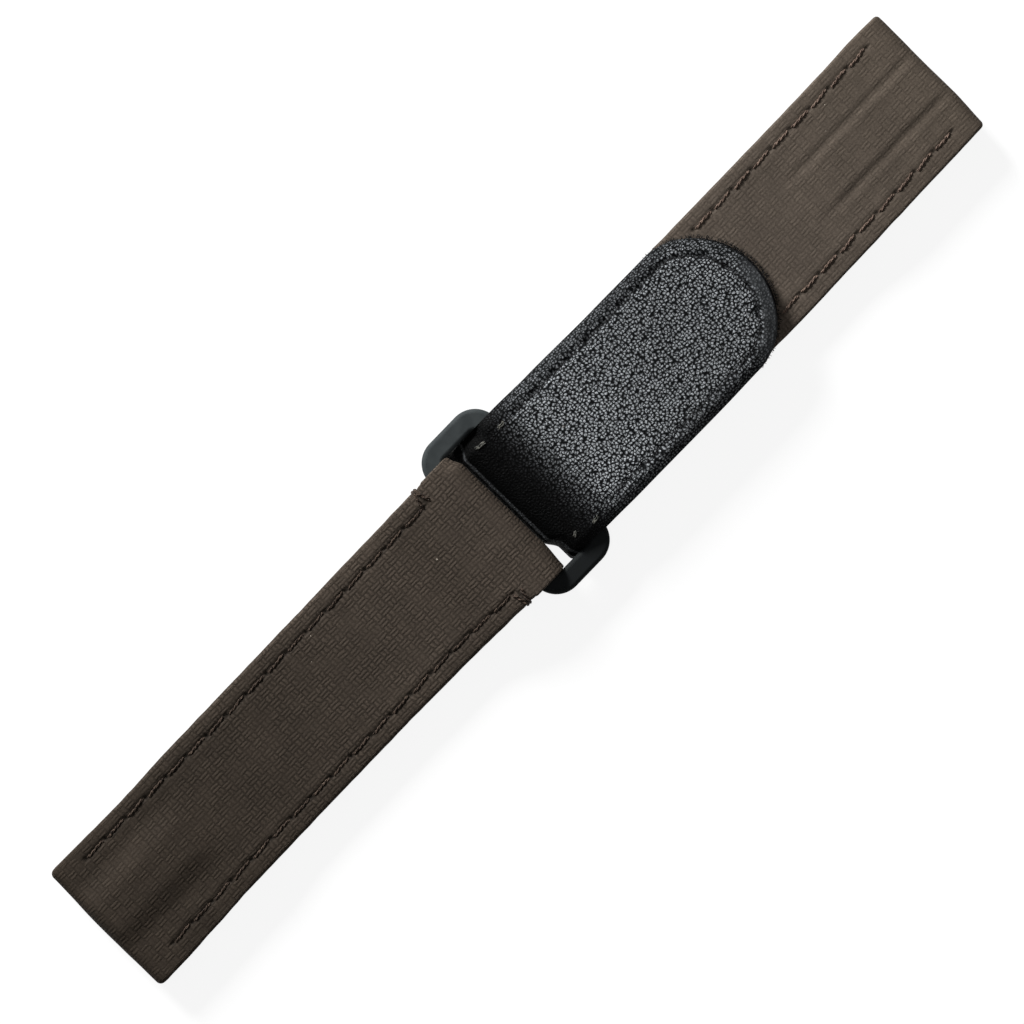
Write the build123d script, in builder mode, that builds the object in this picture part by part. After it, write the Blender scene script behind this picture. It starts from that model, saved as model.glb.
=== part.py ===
from build123d import *
import os
from math import asin, cos, degrees, pi, sin

# Two-piece watch strap of rubberised fabric, closed by a leather hook-and-loop tab
# The strap lies flat with its face up: +X runs along it to the lug end of the long half,
# +Y across it, and z = 0 is the surface that it lies on. The origin is under the middle.
# The short half loops round one bar of a metal ring. The leather lining of the long half
# runs on under the other bar, bends up through the ring and folds back over the strap as
# the tab, which hook tape holds to loop tape. All sizes are in millimetres.

# Whole strap
lug_width = 20.0
overall_length = 153.4
skin_thick = 0.95
edge_round = 0.5

# Spring-bar tunnel in each lug end
tunnel_radius = 1.0
core_setback_share = 0.5

# Leather lining, tail and tab
leather_thick = 1.3
lining_inset = 0.75
tail_inset = 0.2
tail_slack = 2.1
tail_notch = 1.1
tail_notch_run = 4.25
tab_overhang = 0.35
tab_length = 40.25
tab_tip_run = 9.0
tab_flare_run = 2.0
tab_edge_round = 0.4

# Metal ring
ring_length = 11.9
ring_slot_clearance = 0.35
ring_thick = 1.9
ring_cross_bar = 2.8
ring_side_bar = 2.75
ring_corner = 3.6
ring_slot_corner = 0.9
ring_edge_round = 0.6
ring_x = -0.3
bar_clearance = 0.65

# Short half, from its loop to its lug end
short_thick = 3.3
loop_slack = 1.0
loop_flat = 3.1
loop_ramp = 13.0
under_flat = 2.6
under_ramp = 3.5
short_core_gap = 2.35
loop_flap = 16.8

# Both lug ends
lug_flat = 14.7
lug_ramp = 14.0
lug_flap = 8.7

# Long half, from its squared end behind the ring to its lug end
long_thick = 3.0
long_end_gap = 2.75

# Hook and loop tapes
loop_tape_setback = 2.0
loop_tape_thick = 0.7
loop_tape_inset = 0.4
loop_tape_overhang = 0.6
loop_tape_tip_run = 9.4
tape_gap = 0.05
hook_tape_setback = 0.5
hook_tape_inset = 0.5

# Stiffening strip under the skin of each lug end, and the creases beside it
stiffener_width = 6.8
stiffener_length = 20.6
stiffener_thick = 0.3
stiffener_gap = 1.5
crease_width = 0.5
crease_depth = 0.25

# Stitching
row_inset = 2.4
thread_width = 0.6
thread_proud = 0.2
thread_sunk = 0.25
needle_radius = 0.25
under_thread = 0.3
under_recess = 0.05
short_row_setback = 1.8
short_row_end_gap = 5.2
short_stitch_count = 17
tack_setback = 1.1
long_row_setback = 2.4
long_row_end_gap = 4.1
long_stitch_count = 9
tab_stitch_inset = 2.2
tab_stitch_setback = 0.3
tab_side_count = 8
tab_tip_count = 7
loop_stitch_inset = 1.9
loop_stitch_setback = 1.6
loop_side_count = 6
loop_tip_count = 7

# Length by which cutting shapes overrun what they cut
overrun = 1.0

lug_x = overall_length / 2
half_width = lug_width / 2
core_half = half_width - skin_thick
lining_half = half_width - lining_inset
tail_half = half_width - tail_inset
tab_half = half_width + tab_overhang
row_y = half_width - row_inset
lug_radius = tunnel_radius + skin_thick
lug_thick = 2 * lug_radius
tunnel_x = lug_x - lug_radius
core_end_x = tunnel_x - core_setback_share * tunnel_radius
bar_room = ring_thick / 2 + bar_clearance
ring_z = leather_thick + bar_room
long_bar_x = ring_x + ring_length / 2 - ring_cross_bar / 2
short_bar_x = ring_x - ring_length / 2 + ring_cross_bar / 2
loop_x = short_bar_x + loop_slack
loop_radius = bar_room + skin_thick
loop_top_z = ring_z + loop_radius
loop_base_z = ring_z - loop_radius
short_core_x = short_bar_x - short_core_gap
short_lining_x = short_core_x - loop_flap
slot_width = lug_width + 2 * ring_slot_clearance
ring_width = slot_width + 2 * ring_side_bar
tail_x = long_bar_x - tail_slack
tail_radius = bar_room + leather_thick
tab_base_z = ring_z + bar_room
tab_top_z = tab_base_z + leather_thick
tab_tip_x = tail_x + tab_length
tab_straight_x = tab_tip_x - tab_tip_run
long_end_x = long_bar_x + long_end_gap
loop_tape_tip_x = tab_tip_x + loop_tape_overhang
loop_tape_straight_x = loop_tape_tip_x - loop_tape_tip_run
loop_tape_half = half_width - loop_tape_inset
loop_tape_start_x = long_end_x + loop_tape_setback
loop_tape_top_z = long_thick + loop_tape_thick
hook_tape_z = loop_tape_top_z + tape_gap
hook_tape_start_x = long_end_x + hook_tape_setback
short_row_start_x = short_core_x - short_row_setback
short_row_end_x = -lug_x + short_row_end_gap
tack_x = short_core_x - tack_setback
long_row_start_x = loop_tape_tip_x - long_row_setback
long_row_end_x = lug_x - long_row_end_gap
loop_stitch_start_x = loop_tape_start_x + loop_stitch_setback
tab_stitch_start_x = hook_tape_start_x + tab_stitch_setback


def ramp(start, run, rise):
    """Draws two equal arcs that leave start level and arrive level, and gives their end."""
    radius = (run**2 + rise**2) / (4 * abs(rise))
    turn = degrees(asin(abs(run) / (2 * radius)))
    bend = turn if run * rise > 0 else -turn
    heading = 1 if run > 0 else -1
    first = JernArc(start=start, tangent=(heading, 0), radius=radius, arc_size=bend)
    second = JernArc(start=first @ 1, tangent=first % 1, radius=radius, arc_size=-bend)
    return second @ 1


def short_side(inset):
    """Side view of the short half, drawn smaller all round by inset."""
    with BuildSketch() as side:
        with BuildLine():
            base = Line((-tunnel_x, inset), (loop_x - under_flat - under_ramp, inset))
            below = Line(ramp(base @ 1, under_ramp, loop_base_z), (loop_x, loop_base_z + inset))
            loop = CenterArc((loop_x, ring_z), loop_radius - inset, -90, 180)
            above = Line(loop @ 1, (loop_x - loop_flat, loop_top_z - inset))
            body = ramp(above @ 1, -loop_ramp, short_thick - loop_top_z)
            middle = Line(body, (-lug_x + lug_flat + lug_ramp, short_thick - inset))
            lug = ramp(middle @ 1, -lug_ramp, lug_thick - short_thick)
            Line(lug, (-tunnel_x, lug_thick - inset))
            CenterArc((-tunnel_x, lug_radius), lug_radius - inset, 90, 180)
        make_face()
    return side.sketch


def long_side(inset):
    """Side view of the long half, drawn smaller all round by inset."""
    with BuildSketch() as side:
        with BuildLine():
            base = Line((long_end_x + inset, inset), (tunnel_x, inset))
            CenterArc((tunnel_x, lug_radius), lug_radius - inset, -90, 180)
            top = Line((tunnel_x, lug_thick - inset), (lug_x - lug_flat, lug_thick - inset))
            body = ramp(top @ 1, -lug_ramp, long_thick - lug_thick)
            end = Line(body, (long_end_x + inset, long_thick - inset))
            Line(end @ 1, base @ 0)
        make_face()
    return side.sketch


def window(x_from, x_to, z_from, z_to):
    """Rectangle between two corners of the side view."""
    with BuildSketch() as frame:
        with Locations(((x_from + x_to) / 2, (z_from + z_to) / 2)):
            Rectangle(abs(x_to - x_from), abs(z_to - z_from))
    return frame.sketch


def across(profile, half, y=0):
    """Gives a side-view profile its width, to half each side of y."""
    with BuildPart() as body:
        with BuildSketch(Plane.XZ.offset(-y)):
            add(profile)
        extrude(amount=half, both=True)
    return body.part


def tongue(start_x, straight_x, tip_x, half):
    """Plan of a strip with one square end and one rounded end."""
    with BuildSketch() as plan:
        with BuildLine():
            Line((start_x, half), (straight_x, half))
            EllipticalCenterArc((straight_x, 0), tip_x - straight_x, half, start_angle=-90, arc_size=180)
            Line((straight_x, -half), (start_x, -half))
            Line((start_x, -half), (start_x, half))
        make_face()
    return plan.sketch


def punches(holes):
    """One round punch for every needle hole, longer than any layer is thick."""
    with BuildPart() as pins:
        with Locations(*[(x, y, 0) for x, y in holes]):
            Cylinder(needle_radius, 4 * loop_top_z)
    return pins.part


def row_holes(start_x, end_x, stitches, y):
    """Needle holes of a straight row of stitches."""
    return [(start_x + (end_x - start_x) * i / stitches, y) for i in range(stitches + 1)]


def tongue_holes(start_x, straight_x, tip_x, half, side_stitches, tip_stitches):
    """Needle holes along both sides and round the tip of a tongue."""
    pitch = (straight_x - start_x) / side_stitches
    holes = [(start_x + pitch * i, side * half) for side in (1, -1) for i in range(side_stitches)]
    for i in range(tip_stitches + 1):
        angle = pi * i / tip_stitches - pi / 2
        holes.append((straight_x + (tip_x - straight_x) * cos(angle), half * sin(angle)))
    return holes


def face_strip(side, x_from, x_to, proud, sunk):
    """Side view of what lies along the upper face, from sunk below it to proud above it."""
    with BuildSketch() as strip:
        add(side(-proud))
        add(side(sunk), mode=Mode.SUBTRACT)
        add(window(x_from, x_to, lug_radius, loop_top_z + overrun), mode=Mode.INTERSECT)
    return strip.sketch


def row_bed(side, x_from, x_to, y):
    """Cutter for the grooves that a row of stitches is pulled into, above and below."""
    with BuildPart() as bed:
        add(across(face_strip(side, x_from, x_to, thread_proud, thread_sunk), thread_width / 2, y))
        add(across(window(x_from, x_to, -overrun, under_recess + under_thread), thread_width / 2, y))
    return bed.part


def row_thread(side, x_from, x_to, holes):
    """Thread of one row: the upper run, the lower run and the legs between them."""
    y = holes[0][1]
    with BuildPart() as thread:
        add(across(side(thread_sunk / 2), half_width))
        add(punches(holes), mode=Mode.INTERSECT)
        add(across(face_strip(side, x_from, x_to, thread_proud, thread_sunk), thread_width / 2, y))
        under_run = window(x_from, x_to, under_recess, under_recess + under_thread)
        add(across(under_run, thread_width / 2, y))
    return thread.part


def tack_thread(side):
    """Thread wrapped from the row over the edge of the strap and back under it."""
    tack_from_x = tack_x - thread_width / 2
    tack_to_x = tack_x + thread_width / 2
    with BuildPart() as tack:
        with BuildSketch(Plane.XZ):
            add(short_side(-thread_proud))
            add(window(tack_from_x, tack_to_x, under_recess, loop_top_z + overrun), mode=Mode.INTERSECT)
        extrude(amount=half_width + thread_proud, both=True)
        rims = tack.faces().filter_by(Axis.Y).edges().group_by(Axis.Z)
        fillet(rims[0] + rims[-1], edge_round + thread_proud)
        add(across(short_side(thread_sunk), half_width - thread_sunk), mode=Mode.SUBTRACT)
        keep = Keep.BOTTOM if side > 0 else Keep.TOP
        split(bisect_by=Plane.XZ.offset(-side * row_y), keep=keep)
    return tack.part


def band(start_x, straight_x, tip_x, half):
    """Plan of a line of thread along the sides and round the tip of a tongue."""
    with BuildSketch() as line:
        add(tongue(start_x, straight_x, tip_x + thread_width / 2, half + thread_width / 2))
        inner = tongue(start_x - overrun, straight_x, tip_x - thread_width / 2, half - thread_width / 2)
        add(inner, mode=Mode.SUBTRACT)
    return line.sketch


def band_bed(plan, low_z, high_z):
    """Cutter for the grooves that a line of stitches is pulled into, above and below."""
    with BuildPart() as bed:
        with BuildSketch(Plane.XY.offset(high_z - thread_sunk)):
            add(plan)
        extrude(amount=thread_sunk + overrun)
        with BuildSketch(Plane.XY.offset(low_z + under_recess + under_thread)):
            add(plan)
        extrude(amount=-under_recess - under_thread - overrun)
    return bed.part


def band_thread(plan, holes, low_z, high_z):
    """Thread of one line of stitches, lying just below the faces at low_z and high_z."""
    upper_thick = thread_sunk - under_recess
    with BuildPart() as thread:
        with BuildSketch(Plane.XY.offset(low_z + under_recess)):
            add(plan)
        extrude(amount=under_thread)
        with BuildSketch(Plane.XY.offset(high_z - thread_sunk)):
            add(plan)
        extrude(amount=upper_thick)
        with BuildSketch(Plane.XY.offset(low_z + under_recess)):
            with Locations(*holes):
                Circle(needle_radius)
        extrude(amount=high_z - low_z - 2 * under_recess)
    return thread.part


def finish(piece, name):
    """Labels a piece and writes it under its own name."""
    piece.part.label = name
    export_step(piece.part, f"parts/{name}.step")


os.makedirs("parts", exist_ok=True)

# Short half: stitched rows, lining, stiffener, core and the skin wrapped round them
short_row_from_x = short_row_end_x - thread_width / 2
short_row_to_x = tack_x + thread_width / 2
short_rows = [row_holes(short_row_start_x, short_row_end_x, short_stitch_count, side * row_y) for side in (1, -1)]
short_punches = punches(short_rows[0] + short_rows[1])
short_beds = [row_bed(short_side, short_row_from_x, short_row_to_x, side * row_y) for side in (1, -1)]
tacks = [tack_thread(side) for side in (1, -1)]

with BuildPart() as short_stitch_left:
    add(row_thread(short_side, short_row_from_x, short_row_to_x, short_rows[0]))
    add(tacks[0])

with BuildPart() as short_stitch_right:
    add(row_thread(short_side, short_row_from_x, short_row_to_x, short_rows[1]))
    add(tacks[1])

with BuildPart() as short_lining:
    with BuildSketch(Plane.XZ):
        add(window(-lug_x + lug_flap, short_lining_x, 0, skin_thick))
    extrude(amount=lining_half, both=True)
    add(short_beds, mode=Mode.SUBTRACT)
    add(short_punches, mode=Mode.SUBTRACT)

stiffener_start_x = tunnel_x - stiffener_gap
stiffener_end_x = stiffener_start_x - stiffener_length

with BuildPart() as short_stiffener:
    with BuildSketch(Plane.XZ):
        add(short_side(skin_thick))
        add(short_side(skin_thick + stiffener_thick), mode=Mode.SUBTRACT)
        add(window(-stiffener_start_x, -stiffener_end_x, lug_radius, lug_thick), mode=Mode.INTERSECT)
    extrude(amount=stiffener_width / 2, both=True)

with BuildPart() as short_core:
    with BuildSketch(Plane.XZ):
        add(short_side(skin_thick))
        add(window(-core_end_x, short_core_x, 0, loop_top_z), mode=Mode.INTERSECT)
        with Locations((-tunnel_x, lug_radius)):
            Circle(tunnel_radius, mode=Mode.SUBTRACT)
    extrude(amount=core_half, both=True)
    add(short_stiffener.part, mode=Mode.SUBTRACT)
    add(short_punches, mode=Mode.SUBTRACT)

with BuildPart() as short_skin:
    with BuildSketch(Plane.XZ):
        add(short_side(0))
    extrude(amount=half_width, both=True)
    fillet(short_skin.faces().filter_by(Axis.Y).edges(), edge_round)
    with BuildSketch(Plane.XZ):
        add(short_side(skin_thick))
        add(window(-core_end_x, short_core_x, 0, loop_top_z), mode=Mode.INTERSECT)
    extrude(amount=core_half, both=True, mode=Mode.SUBTRACT)
    with BuildSketch(Plane.XZ):
        add(short_side(skin_thick))
        add(window(short_core_x, loop_x + loop_radius, 0, loop_top_z), mode=Mode.INTERSECT)
        with Locations((-tunnel_x, lug_radius)):
            Circle(tunnel_radius)
    extrude(amount=half_width + overrun, both=True, mode=Mode.SUBTRACT)
    with BuildSketch(Plane.XZ):
        add(window(-lug_x + lug_flap, short_lining_x, 0, skin_thick))
    extrude(amount=lining_half, both=True, mode=Mode.SUBTRACT)
    for side in (1, -1):
        crease = face_strip(short_side, -stiffener_start_x, -stiffener_end_x, overrun, crease_depth)
        add(across(crease, crease_width / 2, side * stiffener_width / 2), mode=Mode.SUBTRACT)
    add(short_beds, mode=Mode.SUBTRACT)
    add(tacks, mode=Mode.SUBTRACT)
    add(short_punches, mode=Mode.SUBTRACT)

finish(short_stitch_left, "short_stitch_left")
finish(short_stitch_right, "short_stitch_right")
finish(short_lining, "short_lining")
finish(short_stiffener, "short_stiffener")
finish(short_core, "short_core")
finish(short_skin, "short_skin")

# Ring: a flat frame with one slot, rounded on every edge
with BuildPart() as ring:
    with BuildSketch(Plane.XY.offset(ring_z - ring_thick / 2)):
        with Locations((ring_x, 0)):
            RectangleRounded(ring_length, ring_width, ring_corner)
            slot_length = ring_length - 2 * ring_cross_bar
            RectangleRounded(slot_length, slot_width, ring_slot_corner, mode=Mode.SUBTRACT)
    extrude(amount=ring_thick)
    fillet(ring.faces().filter_by(Axis.Z).edges(), ring_edge_round)

finish(ring, "ring")

# Long half: stitched rows, the line that holds the loop tape, and the layers they go through
long_row_from_x = long_row_start_x - thread_width / 2
long_row_to_x = long_row_end_x + thread_width / 2
long_rows = [row_holes(long_row_start_x, long_row_end_x, long_stitch_count, side * row_y) for side in (1, -1)]
loop_stitch_half = loop_tape_half - loop_stitch_inset
loop_stitch_tip_x = loop_tape_tip_x - loop_stitch_inset
loop_line = band(loop_stitch_start_x, loop_tape_straight_x, loop_stitch_tip_x, loop_stitch_half)
loop_holes = tongue_holes(
    loop_stitch_start_x + thread_width / 2,
    loop_tape_straight_x,
    loop_stitch_tip_x,
    loop_stitch_half,
    loop_side_count,
    loop_tip_count,
)
long_punches = punches(long_rows[0] + long_rows[1] + loop_holes)
long_beds = [row_bed(long_side, long_row_from_x, long_row_to_x, side * row_y) for side in (1, -1)]
loop_bed = band_bed(loop_line, 0, loop_tape_top_z)

with BuildPart() as long_stitch_left:
    add(row_thread(long_side, long_row_from_x, long_row_to_x, long_rows[0]))

with BuildPart() as long_stitch_right:
    add(row_thread(long_side, long_row_from_x, long_row_to_x, long_rows[1]))

with BuildPart() as loop_tape_stitch:
    add(band_thread(loop_line, loop_holes, 0, loop_tape_top_z))

with BuildPart() as loop_tape:
    with BuildSketch(Plane.XY.offset(long_thick)):
        add(tongue(loop_tape_start_x, loop_tape_straight_x, loop_tape_tip_x, loop_tape_half))
    extrude(amount=loop_tape_thick)
    add(loop_bed, mode=Mode.SUBTRACT)
    add(long_punches, mode=Mode.SUBTRACT)

with BuildPart() as long_lining:
    with BuildSketch(Plane.XZ):
        add(window(tail_x, lug_x - lug_flap, 0, leather_thick))
    extrude(amount=lining_half, both=True)
    with BuildSketch(Plane.XZ):
        add(window(tail_x, long_end_x, 0, leather_thick))
    extrude(amount=tail_half, both=True)
    add(long_beds, mode=Mode.SUBTRACT)
    add(loop_bed, mode=Mode.SUBTRACT)
    add(long_punches, mode=Mode.SUBTRACT)

with BuildPart() as long_stiffener:
    with BuildSketch(Plane.XZ):
        add(long_side(skin_thick))
        add(long_side(skin_thick + stiffener_thick), mode=Mode.SUBTRACT)
        add(window(stiffener_end_x, stiffener_start_x, leather_thick, lug_thick), mode=Mode.INTERSECT)
    extrude(amount=stiffener_width / 2, both=True)

with BuildPart() as long_core:
    with BuildSketch(Plane.XZ):
        add(long_side(skin_thick))
        add(window(long_end_x, core_end_x, 0, lug_thick), mode=Mode.INTERSECT)
        with Locations((tunnel_x, lug_radius)):
            Circle(tunnel_radius, mode=Mode.SUBTRACT)
    extrude(amount=core_half, both=True)
    with BuildSketch(Plane.XZ):
        add(window(long_end_x, lug_x - lug_flap, 0, leather_thick))
    extrude(amount=core_half, both=True, mode=Mode.SUBTRACT)
    add(long_stiffener.part, mode=Mode.SUBTRACT)
    add(long_punches, mode=Mode.SUBTRACT)

with BuildPart() as long_skin:
    with BuildSketch(Plane.XZ):
        add(long_side(0))
    extrude(amount=half_width, both=True)
    fillet(long_skin.faces().filter_by(Axis.Y).edges(), edge_round)
    with BuildSketch(Plane.XZ):
        add(long_side(skin_thick))
        add(window(long_end_x, core_end_x, 0, lug_thick), mode=Mode.INTERSECT)
    extrude(amount=core_half, both=True, mode=Mode.SUBTRACT)
    with BuildSketch(Plane.XZ):
        with Locations((tunnel_x, lug_radius)):
            Circle(tunnel_radius)
    extrude(amount=half_width + overrun, both=True, mode=Mode.SUBTRACT)
    with BuildSketch(Plane.XZ):
        add(window(long_end_x - overrun, lug_x - lug_flap, 0, leather_thick))
    extrude(amount=lining_half, both=True, mode=Mode.SUBTRACT)
    for side in (1, -1):
        crease = face_strip(long_side, stiffener_end_x, stiffener_start_x, overrun, crease_depth)
        add(across(crease, crease_width / 2, side * stiffener_width / 2), mode=Mode.SUBTRACT)
    add(long_beds, mode=Mode.SUBTRACT)
    add(loop_bed, mode=Mode.SUBTRACT)
    add(long_punches, mode=Mode.SUBTRACT)

finish(long_stitch_left, "long_stitch_left")
finish(long_stitch_right, "long_stitch_right")
finish(loop_tape_stitch, "loop_tape_stitch")
finish(loop_tape, "loop_tape")
finish(long_lining, "long_lining")
finish(long_stiffener, "long_stiffener")
finish(long_core, "long_core")
finish(long_skin, "long_skin")

# Tail bent round the long half's bar: it goes on from the lining and ends in the tab
with BuildPart() as tail_notch_cut:
    with BuildSketch():
        with BuildLine():
            Polyline(
                (tail_x - tail_radius - overrun, tab_half + overrun),
                (tail_x - tail_radius - overrun, tail_half - tail_notch),
                (tail_x - tail_radius, tail_half - tail_notch),
                (tail_x - tail_radius + tail_notch_run, tab_half),
                (tail_x - tail_radius + tail_notch_run, tab_half + overrun),
                close=True,
            )
        make_face()
    extrude(amount=tab_top_z + overrun)

with BuildPart() as tab_fold:
    with BuildSketch(Plane.XZ):
        with Locations((tail_x, ring_z)):
            Circle(tail_radius)
            Circle(bar_room, mode=Mode.SUBTRACT)
        add(window(tail_x - tail_radius - overrun, tail_x, 0, tab_top_z), mode=Mode.INTERSECT)
    extrude(amount=tail_half, both=True)
    add(tail_notch_cut.part, mode=Mode.SUBTRACT)

# Tab: leather over hook tape, sewn together round the edge
tab_stitch_half = tab_half - tab_stitch_inset
tab_stitch_tip_x = tab_tip_x - tab_stitch_inset
tab_line = band(tab_stitch_start_x, tab_straight_x, tab_stitch_tip_x, tab_stitch_half)
tab_holes = tongue_holes(
    tab_stitch_start_x + thread_width / 2,
    tab_straight_x,
    tab_stitch_tip_x,
    tab_stitch_half,
    tab_side_count,
    tab_tip_count,
)
tab_punches = punches(tab_holes)
tab_bed = band_bed(tab_line, hook_tape_z, tab_top_z)

with BuildPart() as tab_stitch:
    add(band_thread(tab_line, tab_holes, hook_tape_z, tab_top_z))

with BuildPart() as hook_tape:
    with BuildSketch(Plane.XY.offset(hook_tape_z)):
        hook_tip_x = tab_tip_x - hook_tape_inset
        add(tongue(hook_tape_start_x, tab_straight_x, hook_tip_x, tab_half - hook_tape_inset))
    extrude(amount=tab_base_z - hook_tape_z)
    add(tab_bed, mode=Mode.SUBTRACT)
    add(tab_punches, mode=Mode.SUBTRACT)

with BuildPart() as tab_leather:
    with BuildSketch(Plane.XY.offset(tab_base_z)):
        add(tongue(tail_x + tab_flare_run, tab_straight_x, tab_tip_x, tab_half))
        with BuildLine():
            Polyline(
                (tail_x, tail_half),
                (tail_x + tab_flare_run, tab_half),
                (tail_x + tab_flare_run, -tab_half),
                (tail_x, -tail_half),
                close=True,
            )
        make_face()
    extrude(amount=leather_thick)
    rim = tab_leather.faces().sort_by(Axis.Z)[-1].edges()
    fillet(rim - rim.filter_by(Axis.Y), tab_edge_round)
    add(tail_notch_cut.part, mode=Mode.SUBTRACT)
    add(tab_bed, mode=Mode.SUBTRACT)
    add(tab_punches, mode=Mode.SUBTRACT)

finish(tab_fold, "tab_fold")
finish(tab_stitch, "tab_stitch")
finish(hook_tape, "hook_tape")
finish(tab_leather, "tab_leather")
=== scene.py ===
import random
from math import asin, atan, ceil, cos, exp, hypot, pi, radians, sin, sqrt

import bmesh
import bpy
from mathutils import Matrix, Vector, noise


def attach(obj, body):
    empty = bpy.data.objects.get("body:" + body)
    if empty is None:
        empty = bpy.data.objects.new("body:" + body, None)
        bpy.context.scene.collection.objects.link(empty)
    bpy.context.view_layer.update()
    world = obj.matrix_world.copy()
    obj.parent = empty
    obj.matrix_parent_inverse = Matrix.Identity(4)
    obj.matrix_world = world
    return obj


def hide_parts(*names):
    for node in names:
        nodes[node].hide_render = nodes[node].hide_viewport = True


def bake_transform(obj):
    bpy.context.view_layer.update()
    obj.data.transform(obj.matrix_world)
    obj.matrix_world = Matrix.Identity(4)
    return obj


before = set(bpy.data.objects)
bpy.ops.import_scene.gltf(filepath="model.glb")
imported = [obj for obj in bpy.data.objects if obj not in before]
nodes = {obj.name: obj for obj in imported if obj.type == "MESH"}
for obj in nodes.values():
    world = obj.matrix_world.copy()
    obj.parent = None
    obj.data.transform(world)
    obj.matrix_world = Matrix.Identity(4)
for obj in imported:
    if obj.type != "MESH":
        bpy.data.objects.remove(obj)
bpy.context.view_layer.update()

MM = 0.001

# Camera: straight above the strap, which runs from the lower left to the upper right
IMAGE_PIXELS = 1024
PIXELS_PER_MM = 7.8
STRAP_TURN = radians(46.0)
STRAP_OFF_CENTRE = (5.3, 12.1)
CAMERA_HEIGHT = 450.0
STRAP_FACE_Z = 3.0


def put(name, data):
    """New object at the origin, in the scene."""
    thing = bpy.data.objects.new(name, data)
    bpy.context.scene.collection.objects.link(thing)
    return thing


picture_right = Vector((cos(STRAP_TURN), -sin(STRAP_TURN), 0))
picture_up = Vector((sin(STRAP_TURN), cos(STRAP_TURN), 0))
camera_data = bpy.data.cameras.new("camera")
camera_data.sensor_fit = "HORIZONTAL"
camera_data.angle = 2 * atan(IMAGE_PIXELS / PIXELS_PER_MM / 2 / (CAMERA_HEIGHT - STRAP_FACE_Z))
camera_data.clip_start = 0.01
camera = put("camera", camera_data)
off_right, off_up = (-pixels / PIXELS_PER_MM * MM for pixels in STRAP_OFF_CENTRE)
camera.location = picture_right * off_right + picture_up * off_up
camera.location.z = CAMERA_HEIGHT * MM
camera.rotation_euler = (0, 0, -STRAP_TURN)
bpy.context.scene.camera = camera
bpy.context.scene.view_settings.view_transform = "Standard"

# Studio: a low soft light from the +Y side, a weak one overhead, and a white sweep of paper
FLOOR_DROP = 0.1 * MM
FLOOR_RADIUS = 2.5
FLOOR_SIDES = 96
BACKDROP_HEIGHT = 1.0
AMBIENT = 0.12


def softbox(name, place, size, watts):
    """Square lamp at a place in metres, turned to face the strap."""
    lamp = bpy.data.lights.new(name, "AREA")
    lamp.shape = "SQUARE"
    lamp.size = size
    lamp.energy = watts
    box = put(name, lamp)
    box.location = place
    box.rotation_euler = Vector(place).to_track_quat("Z", "Y").to_euler()


softbox("key_light", (0.06, 0.735, 0.33), 0.24, 12.1)
softbox("top_light", (0.0, 0.02, 1.0), 0.22, 1.25)

world = bpy.data.worlds.new("studio")
world.use_nodes = True
world.node_tree.nodes["Background"].inputs["Color"].default_value = (1, 1, 1, 1)
world.node_tree.nodes["Background"].inputs["Strength"].default_value = AMBIENT
bpy.context.scene.world = world


class Wire:
    """A value on its way between shader nodes. Arithmetic on it adds Math nodes."""

    def __init__(self, socket):
        self.socket = socket

    def into(self, kind, inputs, output=0, **settings):
        """Adds a node to the wire's tree and gives one of its outputs."""
        return Wire(add_node(self.socket.id_data, kind, inputs, **settings).outputs[output])

    def calc(self, operation, *others):
        return self.into("ShaderNodeMath", (self, *others), operation=operation)

    def __add__(self, other):
        return self.calc("ADD", other)

    def __sub__(self, other):
        return self.calc("SUBTRACT", other)

    def __rsub__(self, number):
        return self.into("ShaderNodeMath", (number, self), operation="SUBTRACT")

    def __mul__(self, other):
        return self.calc("MULTIPLY", other)

    def __truediv__(self, other):
        return self.calc("DIVIDE", other)

    def __rtruediv__(self, number):
        return self.into("ShaderNodeMath", (number, self), operation="DIVIDE")

    def spread(self, low, high, new_low=0.0, new_high=1.0):
        """Map Range, smooth and clamped."""
        ends = (self, low, high, new_low, new_high)
        return self.into("ShaderNodeMapRange", ends, interpolation_type="SMOOTHSTEP")

    def noise(self, scale, detail=2.0, output="Fac"):
        return self.into("ShaderNodeTexNoise", {"Vector": self, "Scale": scale, "Detail": detail}, output)

    def part(self, axis):
        return self.into("ShaderNodeSeparateXYZ", (self,), axis)

    def scaled(self, factor):
        return self.into("ShaderNodeVectorMath", {0: self, "Scale": factor}, operation="SCALE")


def feed(socket, value):
    """Links a wire to an input, or sets the input to a number, a place or a colour."""
    if isinstance(value, Wire):
        socket.id_data.links.new(value.socket, socket)
    else:
        socket.default_value = (*value, 1) if socket.type == "RGBA" else value


def add_node(tree, kind, inputs=(), **settings):
    """New node; inputs is a row of values, or a dict of them by name or number."""
    node = tree.nodes.new(kind)
    for label, value in settings.items():
        setattr(node, label, value)
    for label, value in inputs.items() if isinstance(inputs, dict) else enumerate(inputs):
        feed(node.inputs[label], value)
    return node


def new_finish(name, roughness, specular=0.5, sheen=0.0):
    """Material with its tree and its shader."""
    material = bpy.data.materials.new(name)
    material.use_nodes = True
    shader = material.node_tree.nodes["Principled BSDF"]
    feed(shader.inputs["Roughness"], roughness)
    feed(shader.inputs["Specular IOR Level"], specular)
    feed(shader.inputs["Sheen Weight"], sheen)
    return material, material.node_tree, shader


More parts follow.
